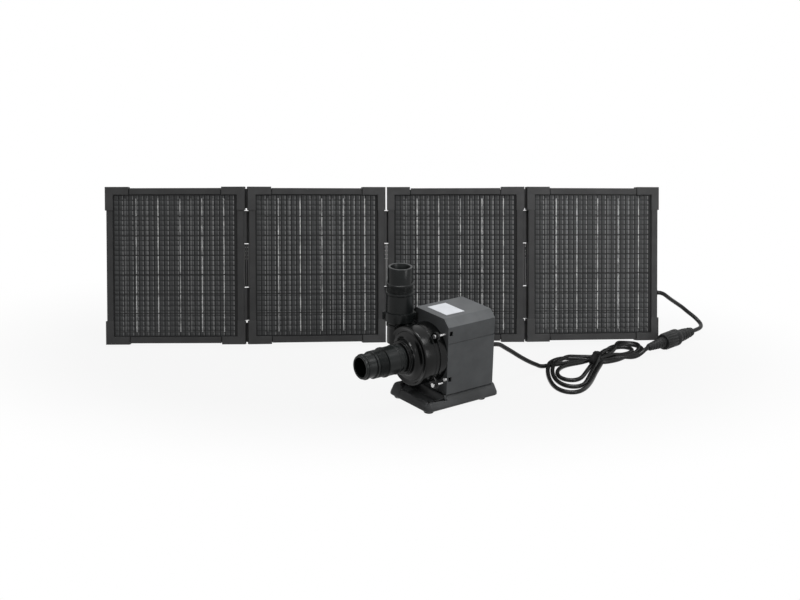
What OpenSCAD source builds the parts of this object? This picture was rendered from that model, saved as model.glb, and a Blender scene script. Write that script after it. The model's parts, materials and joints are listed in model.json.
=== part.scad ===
// Solar fountain pump: a folding four-panel solar array wired to a small water pump.
// X runs right, Y away from the viewer, Z up, and the floor is z = 0.

/* [Panels] */
// Width of one panel over its corner caps
panel_w = 214; // [190:1:230]
// Height of one panel over its corner caps
panel_h = 242; // [220:1:260]
// Thickness of one panel over its corner caps
panel_t = 16; // [15:0.5:18]
// Fold at each joint as it stands, 0 is flat
fold = 10; // [4:1:20]
// Lean of the array away from the viewer
recline = 16.5; // [8:0.5:22]
// Turn of the array's base line, right end away
array_turn = 5.5; // [0:0.5:10]
// Gap between two panels at a joint
panel_gap = 2; // [2:0.25:3]
// Swing of each back leg out of its panel
leg_swing = 26; // [22:1:27]

/* [Pump] */
// Length of the motor housing, front to back
box_l = 84; // [80:1:96]
// Width of the motor housing
box_w = 85; // [82:1:90]
// Height of the top of the motor housing above the floor
box_top = 133; // [128:1:140]
// Chamfer along the two long top edges
box_chamfer = 10.5; // [6:0.5:12]
// Height of the pump's axis above the floor
axis_z = 76; // [74:1:78]
// Outer radius of the pump chamber
volute_r = 43; // [42:0.5:44]
// Height of the outlet's mouth above the floor
outlet_top = 194; // [188:1:204]
// How far the inlet's mouth stands ahead of the housing
inlet_reach = 119.5; // [114:0.5:126]
// Turn of the pump away from facing the viewer's left
pump_turn = 37.5; // [37:0.5:38]

/* [Cord] */
// Diameter of both cords
cord_d = 6.5; // [6:0.25:7]
// Radius of the coupling nut on the connector
nut_r = 13.5; // [12.5:0.5:14]

/* [Hidden] */
$fn = 48;

// Where the outline's centre lies in the layout, so that the origin comes under it
origin_x = 427;
origin_y = -52.6;

// Layout places, before the shift to the origin
pump_x = 491.9;
pump_y = -185.6;
connector_x = 876;
connector_y = 63;
connector_turn = 45;

// Panel sections
cap_arm = 36;
rail_gap = 1.4;
strip_reach = 4.6;
strip_t = 3;
tongue_reach = 2.8;
cap_w = 12;
rail_inset = 2;
rail_w = 9.5;
rail_front = 0.6;
rail_wall = 2;
sheet_y = 3.2;
sheet_t = 3;
cell_t = 0.4;
cell_rows = 7;
cell_gap = 1.6;
cell_margin = 18;
axis_off = 0.5;

// Cord outlet in the right-hand rail of panel 4
outlet_hole_y = 11;
outlet_hole_z = 75;

// Hinges
knuckle_r = 2.4;
hinge_pin_r = 1.2;
hinge_clear = 0.05;
leaf_t = 1.2;
leaf_reach = 11;
// Knuckle lengths from the top down; the odd ones belong to leaf a
knuckles = [5, 6, 6, 6, 43];
knuckle_gap = 0.4;
hinge_len = knuckles[0] + knuckles[1] + knuckles[2] + knuckles[3] + knuckles[4];

// Back legs
leg_z = 150;
leg_y = 10.5;
leg_w = 36;
leg_t = 3;
leg_pin_r = 2.5;
brace_h = 14;
ear_t = 5;

// Pump sections
base_z0 = 4;
base_z1 = 23;
base_back = -94;
base_front = 35;
base_half = 46;
base_bevel = 4;
parting_z = 97.5;
seam_h = 0.8;
wall = 3;
foot_r = 7.5;
seam_x = 12;
seam_t = 2;
disc_x = 38;
chamber_r = 36;
chamber_x = 6;
chamber_end = 33;
boss_r = 24;
boss_l = 14;
inlet_bore = 13;
shaft_r = 3;
outlet_x = 22.5;
outlet_y = -41;
neck_r = 17;
neck_top = 115.5;
// Ears of the pump chamber, as (y, z) from its axis; the outlet takes one corner
ears = [[36, 36], [36, -36], [-36, -36]];
ear_h = 4;
corner_screw_y = 39.5;
corner_screw_z = 46;
can_r = 22;
can_l = 46;

// Connector sections, along its own axis from its centre
boot_x0 = -58;
boot_x1 = -20;
nut_x1 = 16;
plug_x1 = 55;

// Cord routes, laid out by hand
lead_route = [[582, -126.5, 66], [589, -121, 65], [597, -112, 61], [606, -103, 53],
              [617, -92, 43], [629, -81, 32], [642, -69, 21], [654, -58, 12],
              [664, -49, 6], [673, -42, 3.5]];
tail_route = [[824, 12, 8], [829, 16, 11.5], [836, 23, 13.5]];
panel_route = [[857, 114.5, 73.3], [863.5, 115.7, 72.6], [870, 118, 69.5], [878, 124, 62.5],
               [886, 131, 55.5], [895, 138.5, 48], [905, 144.5, 40], [915, 147.5, 31.5],
               [924.5, 147, 24.5], [931.5, 142.5, 19], [935, 135, 15.8], [934.5, 126.5, 14],
               [930, 118, 13.5], [922, 109, 13.5], [914, 101, 13.5]];

panel_numbers = [1, 2, 3, 4];
joint_names = ["12", "23", "34"];

// ---------- placement ----------

module in_frame() {
    translate([-origin_x, -origin_y, 0]) children();
}

module at_pump() {
    in_frame() translate([pump_x, pump_y, 0]) rotate([0, 0, 180 + pump_turn]) children();
}

module at_connector() {
    in_frame() translate([connector_x, connector_y, nut_r]) rotate([0, 0, connector_turn]) children();
}

module at_array() {
    in_frame() translate([0, 0, panel_t * cos(fold / 2) * sin(recline)])
        rotate([0, 0, array_turn]) rotate([-recline, 0, 0]) rotate([0, 0, -fold / 2]) children();
}

// From one panel's frame into the axis of the joint at its right side
module to_joint(mountain) {
    translate([panel_w + panel_gap / 2, mountain ? panel_t + axis_off : -axis_off, 0]) children();
}

// From one panel's frame into the next panel's
module to_next(mountain) {
    axis_y = mountain ? panel_t + axis_off : -axis_off;
    to_joint(mountain) rotate([0, 0, mountain ? fold : -fold])
        translate([panel_gap / 2, -axis_y, 0]) children();
}

module at_panel(k) {
    at_array()
        if (k == 1) children();
        else if (k == 2) to_next(true) children();
        else if (k == 3) to_next(true) to_next(false) children();
        else to_next(true) to_next(false) to_next(true) children();
}

// Along +X instead of +Z
module along_x() {
    rotate([0, 90, 0]) children();
}

// ---------- panels ----------

// C section of one rail: outer web, front flange over the sheet, short back flange
module rail_section() {
    back = panel_t - rail_front;
    polygon([[rail_inset, rail_front], [rail_inset + rail_w, rail_front],
             [rail_inset + rail_w, sheet_y], [rail_inset + rail_wall, sheet_y],
             [rail_inset + rail_wall, back - rail_wall], [rail_inset + rail_w - 3, back - rail_wall],
             [rail_inset + rail_w - 3, back], [rail_inset, back]]);
}

module side_rail() {
    translate([0, 0, cap_arm]) linear_extrude(panel_h - 2 * cap_arm) rail_section();
}

module level_rail() {
    translate([panel_w - cap_arm - rail_gap, 0, 0]) rotate([0, -90, 0])
        linear_extrude(panel_w - 2 * (cap_arm + rail_gap)) rail_section();
}

module leg_ears() {
    for (s = [-1, 1])
        translate([panel_w / 2 + s * (leg_w / 2 + 0.5 + ear_t / 2) - ear_t / 2, sheet_y + sheet_t, leg_z - 5])
            cube([ear_t, panel_t - rail_front - sheet_y - sheet_t, 10]);
}

// Rails of one panel; panels with a leg have a brace across the back that carries it
module frame(braced, gland) {
    difference() {
        union() {
            side_rail();
            translate([panel_w, 0, 0]) mirror([1, 0, 0]) side_rail();
            level_rail();
            translate([0, 0, panel_h]) mirror([0, 0, 1]) level_rail();
            if (braced) {
                translate([rail_inset + rail_wall, sheet_y + sheet_t, leg_z + 6])
                    cube([panel_w - 2 * (rail_inset + rail_wall), 4, brace_h]);
                leg_ears();
                for (s = [-1, 1])
                    translate([panel_w / 2 + s * (leg_w / 2 + 0.5 + ear_t / 2) - ear_t / 2,
                               sheet_y + sheet_t, leg_z])
                        cube([ear_t, 4, 8]);
            }
        }
        if (braced) {
            translate([0, leg_y, leg_z]) along_x()
                cylinder(r = leg_pin_r + hinge_clear, h = panel_w);
            // Slot in the bottom rail, where the leg's foot lies when it is stowed
            translate([(panel_w - leg_w) / 2 - 1.5, sheet_y + sheet_t + 0.7, -1])
                cube([leg_w + 3, panel_t, 14]);
        }
        if (gland)
            translate([panel_w - 10, outlet_hole_y, outlet_hole_z]) along_x()
                cylinder(r = 4.2, h = 12);
    }
}

// Light seals on a side rail, above and below the hinge
module edge_strips(y) {
    h = (panel_h - hinge_len) / 2 - cap_arm - 2;
    for (z = [cap_arm + 1, panel_h - cap_arm - 1 - h])
        translate([rail_inset - strip_reach, y, z]) cube([strip_reach, strip_t, h]);
}

module frame_n(k) {
    color("#343436") at_panel(k) {
        frame(k == 1 || k == 4, k == 4);
        if (k > 1) edge_strips(9);
        if (k < 4) translate([panel_w, 0, 0]) mirror([1, 0, 0]) edge_strips(3);
    }
}

module sheet_blank() {
    inset = rail_inset + rail_wall + 0.2;
    translate([inset, sheet_y, inset]) cube([panel_w - 2 * inset, sheet_t, panel_h - 2 * inset]);
}

module corner_cap() {
    difference() {
        union() {
            cube([cap_w, panel_t, cap_arm]);
            cube([cap_arm, panel_t, cap_w]);
        }
        sheet_blank();
    }
}

// Panels 2 and 4 have a tongue on each left-hand cap, panels 1 and 3 a groove that takes it
module corner_caps(k) {
    color("#2e2e30") at_panel(k)
        for (mx = [0, 1], mz = [0, 1])
            translate([mx * panel_w, 0, mz * panel_h]) mirror([mx, 0, 0]) mirror([0, 0, mz]) {
                if (k % 2 == 1 && mx == 1) difference() {
                    corner_cap();
                    translate([-1, 8, 2]) cube([3, 5, cap_arm - 4]);
                }
                else corner_cap();
                if (k % 2 == 0 && mx == 0)
                    translate([-tongue_reach, 9, 3]) cube([tongue_reach, strip_t, cap_arm - 6]);
            }
}

module laminate(k) {
    color("#18181a") at_panel(k) sheet_blank();
}

module cells(k) {
    row = (panel_h - 2 * cell_margin + cell_gap) / cell_rows;
    color("#2c2f36") at_panel(k)
        for (i = [0 : cell_rows - 1])
            translate([cell_margin, sheet_y - cell_t, cell_margin + i * row])
                cube([panel_w - 2 * cell_margin, cell_t, row - cell_gap]);
}

// ---------- hinges ----------

// Height of the top of knuckle i above the barrel's foot
function knuckle_top(i) = i == 0 ? hinge_len : knuckle_top(i - 1) - knuckles[i - 1];

// Hinge leaf on the left of its axis, knuckles of the given parity; y is measured from the axis
module leaf(parity, bore_r) {
    difference() {
        union() {
            translate([-panel_gap / 2 - rail_inset, -leaf_reach, 0])
                cube([leaf_t, leaf_reach - knuckle_r - 0.5, hinge_len]);
            for (i = [parity : 2 : len(knuckles) - 1])
                translate([0, 0, knuckle_top(i) - knuckles[i] + knuckle_gap / 2]) {
                    cylinder(r = knuckle_r, h = knuckles[i] - knuckle_gap);
                    translate([-panel_gap / 2 - rail_inset, -knuckle_r - 1, 0])
                        cube([leaf_t, knuckle_r + 1, knuckles[i] - knuckle_gap]);
                }
        }
        translate([0, 0, -1]) cylinder(r = bore_r, h = hinge_len + 2);
    }
}

module at_hinge(j) {
    mountain = j != "23";
    at_panel(j == "12" ? 1 : j == "23" ? 2 : 3) to_joint(mountain)
        translate([0, 0, (panel_h - hinge_len) / 2]) mirror([0, mountain ? 0 : 1, 0]) children();
}

module hinge_leaf_a(j) {
    color("#6b6d70") at_hinge(j) leaf(0, hinge_pin_r);
}

module hinge_leaf_b(j) {
    color("#6b6d70") at_hinge(j) rotate([0, 0, fold]) mirror([1, 0, 0])
        leaf(1, hinge_pin_r + hinge_clear);
}

module hinge_pin(j) {
    color("#85878a") at_hinge(j) cylinder(r = hinge_pin_r, h = hinge_len);
}

// ---------- back legs ----------

// Height above the floor of a point on an end panel's middle line, y behind its front and z up it
function lift_at(y, z) = ((panel_t - y) * cos(fold / 2) + panel_w / 2 * sin(fold / 2)) * sin(recline)
                         + z * cos(recline);
leg_len = (lift_at(leg_y, leg_z) - 0.6)
          / (cos(leg_swing) * cos(recline) + sin(leg_swing) * cos(fold / 2) * sin(recline));

module back_leg(k) {
    color("#58595c") at_panel(k) translate([panel_w / 2, leg_y, leg_z]) rotate([leg_swing, 0, 0]) {
        translate([-leg_w / 2, -leg_t / 2, -leg_len + 3]) cube([leg_w, leg_t, leg_len - 3]);
        translate([-leg_w / 2 - 0.5 - ear_t, 0, 0]) along_x()
            cylinder(r = leg_pin_r, h = leg_w + 1 + 2 * ear_t);
        translate([-leg_w / 2, 0, -leg_len + 3]) along_x() cylinder(r = 3, h = leg_w);
    }
}

module junction_box() {
    color("#1c1c1e") at_panel(4) translate([panel_w - 62, sheet_y + sheet_t, 62])
        cube([44, 8, 28]);
}

// Rubber grommet through the right-hand rail, flush with the caps
module panel_grommet() {
    color("#161618") at_panel(4) translate([panel_w - 9, outlet_hole_y, outlet_hole_z]) along_x()
        difference() {
            union() {
                cylinder(r = 4.2, h = 7);
                translate([0, 0, 7]) cylinder(r = 4.8, h = 3);
            }
            translate([0, 0, 8]) cylinder(r = cord_d / 2, h = 4);
        }
}

// ---------- pump: base and housing ----------

// Plan of the base, narrowing ahead of the housing; inset shrinks it evenly
module base_plan(inset) {
    half = base_half - inset;
    nose = 40 - inset;
    polygon([[base_back + inset, -half], [4, -half], [base_front - 4 - inset, -nose],
             [base_front - inset, -nose + 6], [base_front - inset, nose - 6],
             [base_front - 4 - inset, nose], [4, half], [base_back + inset, half]]);
}

module base_plate() {
    color("#2b2c2e") at_pump() difference() {
        union() {
            translate([0, 0, base_z0]) linear_extrude(10) base_plan(0);
            hull() {
                translate([0, 0, base_z0 + 10]) linear_extrude(4) base_plan(0.5);
                translate([0, 0, base_z1 - 0.5]) linear_extrude(0.5) base_plan(base_bevel);
            }
        }
        // Well under the pump chamber, open towards the front over a low lip
        translate([3, -20, 9]) cube([base_front - 11, 56, 20]);
        translate([20, -20, 17]) cube([40, 80, 20]);
        // Hollow underside
        translate([base_back + 6, -base_half + 6, base_z0 - 1]) cube([88, 2 * base_half - 12, 5]);
        for (x = [-70, 24], s = [-1, 1]) translate([x, s * 34, base_z0 - 1])
            cylinder(r = 2.2, h = 8);
    }
}

module rubber_feet() {
    color("#151516") at_pump() for (x = [-70, 24], s = [-1, 1]) translate([x, s * 34, 0]) {
        cylinder(r1 = foot_r - 1, r2 = foot_r, h = 1.5);
        translate([0, 0, 1.5]) cylinder(r = foot_r, h = base_z0 - 1.5);
        translate([0, 0, base_z0]) cylinder(r = 2.2, h = 5);
    }
}

// Cross-section of the closed box, chamfered along its two top edges
module box_section(inset) {
    half = box_w / 2 - inset;
    top = box_top - inset;
    low = base_z1 + inset;
    c = box_chamfer - inset * 0.4;
    polygon([[-half, low], [half, low], [half, top - c], [half - c, top],
             [-half + c, top], [-half, top - c]]);
}

module box_solid(inset) {
    translate([-box_l + inset, 0, 0]) rotate([90, 0, 90])
        linear_extrude(box_l - 2 * inset) box_section(inset);
}

module slab(z0, z1) {
    translate([-200, -200, z0]) cube([400, 400, z1 - z0]);
}

// Pockets in the sides near the front edge, where the flange nuts are reached
module nut_pockets() {
    for (s = [-1, 1], z = [45, 113])
        translate([-8, s * (box_w / 2 - 3) - 4, z - 3.5]) cube([5.5, 8, 7]);
}

module ear_holes(x0, h) {
    for (e = ears) translate([x0, e[0], axis_z + e[1]]) along_x() cylinder(r = 1.8, h = h);
}

module motor_housing() {
    color("#363739") at_pump() difference() {
        intersection() {
            box_solid(0);
            slab(base_z1, parting_z);
        }
        intersection() {
            box_solid(wall);
            slab(base_z1 + wall, parting_z + 1);
        }
        translate([-wall - 1, 0, axis_z]) along_x() cylinder(r = can_r + 0.2, h = wall + 2);
        translate([-box_l - 1, 8, 66]) along_x() cylinder(r = 5.2, h = wall + 2);
        ear_holes(-8, 10);
        nut_pockets();
    }
}

module top_cover() {
    color("#66676a") at_pump() difference() {
        union() {
            intersection() {
                box_solid(0);
                slab(parting_z + seam_h, box_top + 1);
            }
            // Shadow gap along the joint with the housing
            intersection() {
                box_solid(seam_h);
                slab(parting_z, parting_z + seam_h + 1);
            }
        }
        intersection() {
            box_solid(wall);
            slab(parting_z - 1, box_top + 1);
        }
        translate([-wall - 1, 0, axis_z]) along_x() cylinder(r = can_r + 0.2, h = wall + 2);
        ear_holes(-8, 10);
        nut_pockets();
    }
}

module label_plate() {
    color("#e1e4eb") at_pump() translate([-45, -21.5, box_top]) cube([32.5, 43, 0.4]);
}

// ---------- pump: wet end ----------

// Upright outlet pipe with a round foot
module outlet_branch(r) {
    translate([outlet_x, outlet_y, axis_z]) rotate_extrude()
        polygon(concat([[0, -r]], [for (a = [-75 : 15 : 0]) [r * cos(a), r * sin(a)]],
                       [[r, neck_top - axis_z], [0, neck_top - axis_z]]));
}

// Rear chamber ring between the seam and the housing
module volute_back() {
    color("#1d2021") at_pump() difference() {
        translate([0, 0, axis_z]) along_x() cylinder(r = volute_r, h = seam_x);
        translate([chamber_x, 0, axis_z]) along_x() cylinder(r = chamber_r, h = 10);
        translate([-1, 0, axis_z]) along_x() cylinder(r = can_r + 0.2, h = 10);
        outlet_branch(neck_r + 0.3);
    }
}

// Profile of the front cover, from its axis outwards: drum, face and inlet boss
module front_profile() {
    edge = 1.2;
    face = disc_x - seam_x - seam_t;
    polygon(concat(
        [[0, 0], [volute_r, 0], [volute_r, face - edge]],
        [for (a = [15 : 15 : 90]) [volute_r - edge + edge * cos(a), face - edge + edge * sin(a)]],
        [[boss_r + 3, face + 0.6], [boss_r, face + 3], [boss_r - 1.5, face + boss_l],
         [0, face + boss_l]]));
}

// Ears with round ends, each reaching in to the round body
module screw_ears(x0, h) {
    half = 7;
    for (e = ears) translate([x0, 0, axis_z]) rotate([-atan2(e[0], e[1]), 0, 0]) along_x()
        linear_extrude(height = h) polygon(concat([[6 - volute_r, half], [6 - volute_r, -half]],
            [for (a = [-90 : 15 : 90]) [-norm(e) - half * cos(a), half * sin(a)]]));
}

module volute_front() {
    color("#1f2324") at_pump() difference() {
        union() {
            translate([seam_x + seam_t, 0, axis_z]) along_x() rotate_extrude() front_profile();
            screw_ears(seam_x + seam_t, ear_h);
            outlet_branch(neck_r);
        }
        // Chamber, inlet passage, outlet passage and screw holes
        translate([chamber_x, 0, axis_z]) along_x() cylinder(r = chamber_r, h = chamber_end - chamber_x);
        translate([seam_x, 0, axis_z]) along_x() cylinder(r = inlet_bore, h = 50);
        translate([outlet_x, outlet_y, axis_z - 7]) cylinder(r = inlet_bore - 0.5, h = 50);
        ear_holes(seam_x, 10);
    }
}

module casing_gasket() {
    color("#101011") at_pump() difference() {
        translate([seam_x, 0, axis_z]) along_x() difference() {
            cylinder(r = volute_r - 0.8, h = seam_t);
            translate([0, 0, -1]) cylinder(r = chamber_r, h = seam_t + 2);
        }
        outlet_branch(neck_r + 0.3);
    }
}

module impeller() {
    vane_count = 6;
    color("#c9ccd0") at_pump() translate([9, 0, axis_z]) along_x() difference() {
        union() {
            cylinder(r = 30, h = 2);
            cylinder(r = 8, h = 12);
            for (i = [0 : vane_count - 1]) rotate([0, 0, i * 360 / vane_count])
                translate([6, -1, 0]) cube([24, 2, 12]);
            translate([0, 0, -12]) cylinder(r = 8, h = 12);
        }
        translate([0, 0, -20]) cylinder(r = shaft_r + 0.05, h = 40);
    }
}

module rotor_magnet() {
    color("#46474a") at_pump() translate([-36, 0, axis_z]) along_x() difference() {
        cylinder(r = 16, h = 33);
        translate([0, 0, -1]) cylinder(r = shaft_r + 0.05, h = 35);
    }
}

module shaft() {
    color("#d4d6da") at_pump() translate([-43, 0, axis_z]) along_x() cylinder(r = shaft_r, h = 67);
}

// One bush in the foot of the can, one carried by the inlet's spider
module bearing_bushes() {
    color("#b98b4a") at_pump() for (x = [-43, 22]) translate([x, 0, axis_z]) along_x()
        difference() {
            cylinder(r = 6, h = x < 0 ? 6 : 3);
            translate([0, 0, -1]) cylinder(r = shaft_r, h = 10);
        }
}

module isolation_can() {
    color("#3b3d40") at_pump() translate([-can_l, 0, axis_z]) along_x() difference() {
        union() {
            cylinder(r = can_r, h = can_l + 6);
            translate([0, 0, can_l + 6]) cylinder(r = 33, h = 2);
        }
        translate([0, 0, 3]) cylinder(r = can_r - 2, h = can_l + 8);
    }
}

module stator_core() {
    color("#77797c") at_pump() translate([-40, 0, axis_z]) along_x() difference() {
        cylinder(r = 38, h = 24);
        translate([0, 0, -1]) cylinder(r = 33, h = 26);
    }
}

module stator_coils() {
    color("#b4652f") at_pump() translate([-40, 0, axis_z]) along_x()
        for (i = [0 : 5]) rotate([0, 0, 30 + i * 60])
            translate([can_r + 0.5, -7, 1]) cube([9, 14, 22]);
}

module control_board() {
    color("#1f5a35") at_pump() {
        translate([-74, -30, 120]) cube([60, 60, 1.6]);
        for (x = [-62, -42, -24]) translate([x, -12, 114]) cube([9, 18, 6]);
    }
}

// Long screws through the ears, with bare shanks in front of the housing, and two short ones
module casing_screws() {
    head_x = seam_x + seam_t + ear_h;
    color("#c9ccd0") at_pump() {
        for (e = ears) translate([0, e[0], axis_z + e[1]]) along_x() {
            translate([0, 0, -7]) cylinder(r = 1.7, h = head_x + 7);
            translate([0, 0, head_x]) cylinder(r = 3.2, h = 2.5);
        }
        for (s = [-1, 1]) translate([0, s * corner_screw_y, corner_screw_z]) along_x()
            cylinder(r = 2.8, h = 2);
    }
}

// Hose tail: smooth tip, barbed middle and plain root; z runs from the mouth back
module hose_tail_profile(tip_r, tip_l, barb_r, barb_l, root_r, root_l, bore) {
    barbs = 4;
    pitch = barb_l / barbs;
    polygon(concat(
        [[bore, 0], [tip_r - 0.8, 0], [tip_r, 1], [tip_r, tip_l]],
        [for (i = [0 : barbs - 1], p = [[barb_r - 1.2, 0.2], [barb_r, pitch - 0.6], [barb_r - 1.2, pitch]])
            [p[0], tip_l + i * pitch + p[1]]],
        [[root_r, tip_l + barb_l], [root_r, tip_l + barb_l + root_l],
         [bore, tip_l + barb_l + root_l]]));
}

module outlet_adaptor() {
    color("#2a2d2f") at_pump() translate([outlet_x, outlet_y, outlet_top]) mirror([0, 0, 1])
        rotate_extrude() hose_tail_profile(17.7, 24, 18.8, 15, 19.4,
                                           outlet_top - 39 - neck_top, inlet_bore);
}

// Bayonet collar over the root of the outlet, with two grip lugs
module outlet_collar() {
    color("#26282a") at_pump() translate([outlet_x, outlet_y, neck_top]) rotate([0, 0, -pump_turn])
        difference() {
            union() {
                cylinder(r = 21.3, h = 13);
                for (s = [-1, 1]) translate([s * 22 - 2, -4, 1]) cube([4, 8, 11]);
            }
            translate([0, 0, -1]) cylinder(r = 19.45, h = 15);
        }
}

module inlet_adaptor() {
    color("#1c2122") at_pump() translate([inlet_reach, 0, axis_z]) along_x() mirror([0, 0, 1])
        rotate_extrude() hose_tail_profile(16.9, 21.5, 19.3, 16, 20.5,
                                           inlet_reach - 37.5 - disc_x - boss_l,
                                           inlet_bore + 1);
}

module pump_gland() {
    color("#19191b") at_pump() translate([-box_l, 8, 66]) along_x() mirror([0, 0, 1]) difference() {
        union() {
            translate([0, 0, -5]) cylinder(r = 5, h = 6);
            cylinder(r = 8, h = 5);
            translate([0, 0, 5]) cylinder(r1 = 6.5, r2 = 4.4, h = 19);
        }
        translate([0, 0, 12]) cylinder(r = cord_d / 2, h = 20);
    }
}

// ---------- connector ----------

module socket_body() {
    color("#1b1d1e") at_connector() along_x() difference() {
        union() {
            translate([0, 0, boot_x0]) cylinder(r1 = 4.2, r2 = 8.2, h = boot_x1 - boot_x0);
            translate([0, 0, boot_x1]) cylinder(r = 9, h = 16);
        }
        translate([0, 0, boot_x0 - 1]) cylinder(r = cord_d / 2, h = 9);
    }
}

module connector_seal() {
    color("#3a3b3d") at_connector() along_x() translate([0, 0, boot_x1 + 16]) difference() {
        cylinder(r = 9, h = 3);
        translate([0, 0, -1]) cylinder(r = 6, h = 5);
    }
}

module coupling_nut() {
    color("#202223") at_connector() along_x() difference() {
        translate([0, 0, boot_x1]) cylinder(r = nut_r, h = nut_x1 - boot_x1);
        translate([0, 0, boot_x1 - 1]) cylinder(r = 9.05, h = nut_x1 - boot_x1 + 2);
    }
}

module plug_body() {
    color("#1b1d1e") at_connector() along_x() difference() {
        union() {
            translate([0, 0, boot_x1 + 19]) cylinder(r = 9, h = 17);
            translate([0, 0, nut_x1]) cylinder(r = 10.5, h = 24);
            translate([0, 0, nut_x1 + 24]) cylinder(r = 6.5, h = plug_x1 - nut_x1 - 24);
        }
        translate([0, 0, plug_x1 - 8]) cylinder(r = cord_d / 2, h = 9);
    }
}

// ---------- cords ----------

function unit(v) = v / norm(v);
function tangent(p, i) = unit(p[min(i + 1, len(p) - 1)] - p[max(i - 1, 0)]);

// Round tube swept along a route, with a ring square to the route at each point
module tube(route, r, sides = 10) {
    rings = [for (i = [0 : len(route) - 1])
        let (d = tangent(route, i), u = unit(cross(d, [0.3, -0.2, 1])), v = cross(d, u))
        for (s = [0 : sides - 1])
            route[i] + r * (cos(s * 360 / sides) * u + sin(s * 360 / sides) * v)];
    last = (len(route) - 1) * sides;
    faces = concat(
        [[for (s = [0 : sides - 1]) s]],
        [for (i = [0 : len(route) - 2], s = [0 : sides - 1])
            [i * sides + (s + 1) % sides, i * sides + s,
             (i + 1) * sides + s, (i + 1) * sides + (s + 1) % sides]],
        [[for (s = [sides - 1 : -1 : 0]) last + s]]);
    polyhedron(rings, faces);
}

module pump_cord_lead() {
    color("#1e2021") in_frame() tube(lead_route, cord_d / 2);
}

// Outline of the tied bundle: a broad left loop, the tie, and a narrower right loop
module hank_outline() {
    polygon([[672, -40], [668, -90], [674, -128], [688, -148], [704, -156], [722, -146],
             [736, -116], [748, -76], [760, -28], [772, -24], [788, -14], [802, -2], [822, 8],
             [832, 30], [830, 54], [816, 70], [800, 66], [781, 48], [764, 26], [748, 16],
             [712, 14], [690, 2], [676, -20]]);
}

module pump_cord_hank() {
    color("#1e2021") in_frame() difference() {
        linear_extrude(16) hank_outline();
        translate([750, -18, -1]) rotate([0, 0, -28]) cube([9, 60, 40], center = true);
    }
}

module cord_tie() {
    color("#111112") in_frame() translate([750, -18, 9]) rotate([0, 0, -28])
        cube([9, 40, 18], center = true);
}

module pump_cord_tail() {
    color("#1e2021") in_frame() tube(tail_route, cord_d / 2);
}

module panel_cord() {
    color("#1e2021") in_frame() tube(panel_route, cord_d / 2);
}

// ---------- nodes ----------

for (k = panel_numbers) {
    frame_n(k);
    corner_caps(k);
    laminate(k);
    cells(k);
}
for (j = joint_names) {
    hinge_leaf_a(j);
    hinge_leaf_b(j);
    hinge_pin(j);
}
for (k = [1, 4]) {
    back_leg(k);
}
junction_box();
panel_grommet();
socket_body();
plug_body();
coupling_nut();
connector_seal();
pump_cord_lead();
pump_cord_hank();
pump_cord_tail();
panel_cord();
cord_tie();
base_plate();
rubber_feet();
motor_housing();
top_cover();
label_plate();
volute_back();
volute_front();
casing_gasket();
impeller();
rotor_magnet();
shaft();
bearing_bushes();
stator_core();
stator_coils();
isolation_can();
control_board();
casing_screws();
outlet_adaptor();
outlet_collar();
inlet_adaptor();
pump_gland();
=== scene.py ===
import json
import math

import bmesh
import bpy
import numpy as np
from mathutils import Matrix, Vector, noise


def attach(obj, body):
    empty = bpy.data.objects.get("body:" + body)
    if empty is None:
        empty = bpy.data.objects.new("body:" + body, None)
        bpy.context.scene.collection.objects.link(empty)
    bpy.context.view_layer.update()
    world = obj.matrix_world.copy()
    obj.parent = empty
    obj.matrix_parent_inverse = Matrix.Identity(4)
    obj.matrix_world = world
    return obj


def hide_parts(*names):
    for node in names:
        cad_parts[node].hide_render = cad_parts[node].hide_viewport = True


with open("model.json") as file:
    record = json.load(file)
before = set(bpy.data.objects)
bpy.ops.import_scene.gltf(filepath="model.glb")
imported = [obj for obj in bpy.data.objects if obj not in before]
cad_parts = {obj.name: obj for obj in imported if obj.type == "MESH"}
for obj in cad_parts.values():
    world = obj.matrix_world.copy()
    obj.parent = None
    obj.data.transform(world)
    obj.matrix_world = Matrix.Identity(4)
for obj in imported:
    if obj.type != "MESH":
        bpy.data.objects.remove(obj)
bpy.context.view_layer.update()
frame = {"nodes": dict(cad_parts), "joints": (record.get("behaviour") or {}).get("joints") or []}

MM = 0.001
joints = {j["name"]: j for j in frame["joints"]}


# ---------- local frames, taken from the record's joints ----------

def axes_frame(x, z, anchor, local):
    """Matrix from local millimetres to the row frame; the local point lands on the anchor."""
    x, z = Vector(x).normalized(), Vector(z).normalized()
    y = z.cross(x).normalized()
    rot = Matrix((x, y, z)).transposed()
    place = Matrix.Translation(Vector(anchor) - rot @ (Vector(local) * MM))
    return place @ rot.to_4x4() @ Matrix.Scale(MM, 4)


def joint_frame(x_joint, z_joint, at_joint, local):
    z = joints[z_joint]["axis"] if z_joint else (0, 0, 1)
    return axes_frame(joints[x_joint]["axis"], z, joints[at_joint]["pos_m"], local)


PANEL = {
    1: joint_frame("leg_swing_1", "fold_23", "leg_swing_1", (107, 10.5, 150)),
    2: joint_frame("leg_swing_4", "fold_23", "fold_12", (-1, 16.5, 121)),
    3: joint_frame("leg_swing_1", "fold_23", "fold_23", (-1, -0.5, 121)),
    4: joint_frame("leg_swing_4", "fold_23", "leg_swing_4", (107, 10.5, 150)),
}
PANEL_BODY = {1: "panel_1", 2: "panel_2", 3: "panel_3", 4: "base"}
PUMP = joint_frame("impeller_spin", None, "impeller_spin", (0, 0, 76))
PLUG = joint_frame("coupling_nut_turn", None, "coupling_nut_turn", (0, 0, 0))

# The cords' routes count from the first panel's foot, as the part's source does
ORIGIN = Vector((427, -52.6, 0))


def row(p):
    return (Vector(p) - ORIGIN) * MM


# ---------- camera ----------

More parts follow.
